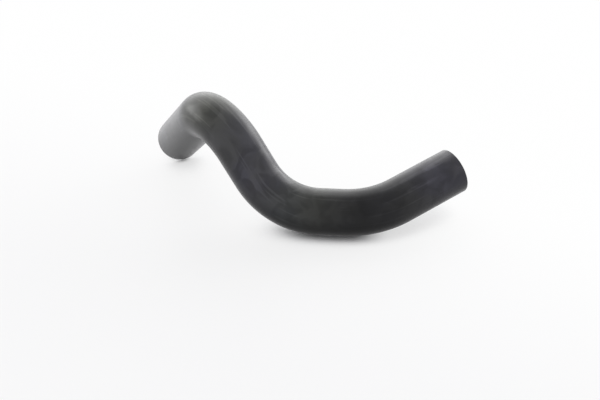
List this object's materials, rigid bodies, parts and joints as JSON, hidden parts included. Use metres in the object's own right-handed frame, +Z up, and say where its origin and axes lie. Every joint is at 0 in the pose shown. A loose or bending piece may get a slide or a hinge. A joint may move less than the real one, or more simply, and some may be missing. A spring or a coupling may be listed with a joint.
{
  "type": "coolant hose",
  "caption": "Moulded rubber coolant hose: one open tube with three bends in different planes, cut square at both ends.",
  "frame": {"origin": "middle of the bottom of the hose's box, on the ground that it lies on", "axes": "+Z up. +X along the ground run, from the resting end's side towards the raised end. +Y towards the side that both cut ends point to."},
  "size_m": [0.2902, 0.1594, 0.1087],
  "materials": {
    "moulded_rubber": "satin black, faint lengthwise lines"
  },
  "bodies": {
    "root": {"hose": "moulded_rubber"}
  },
  "joints": []
}
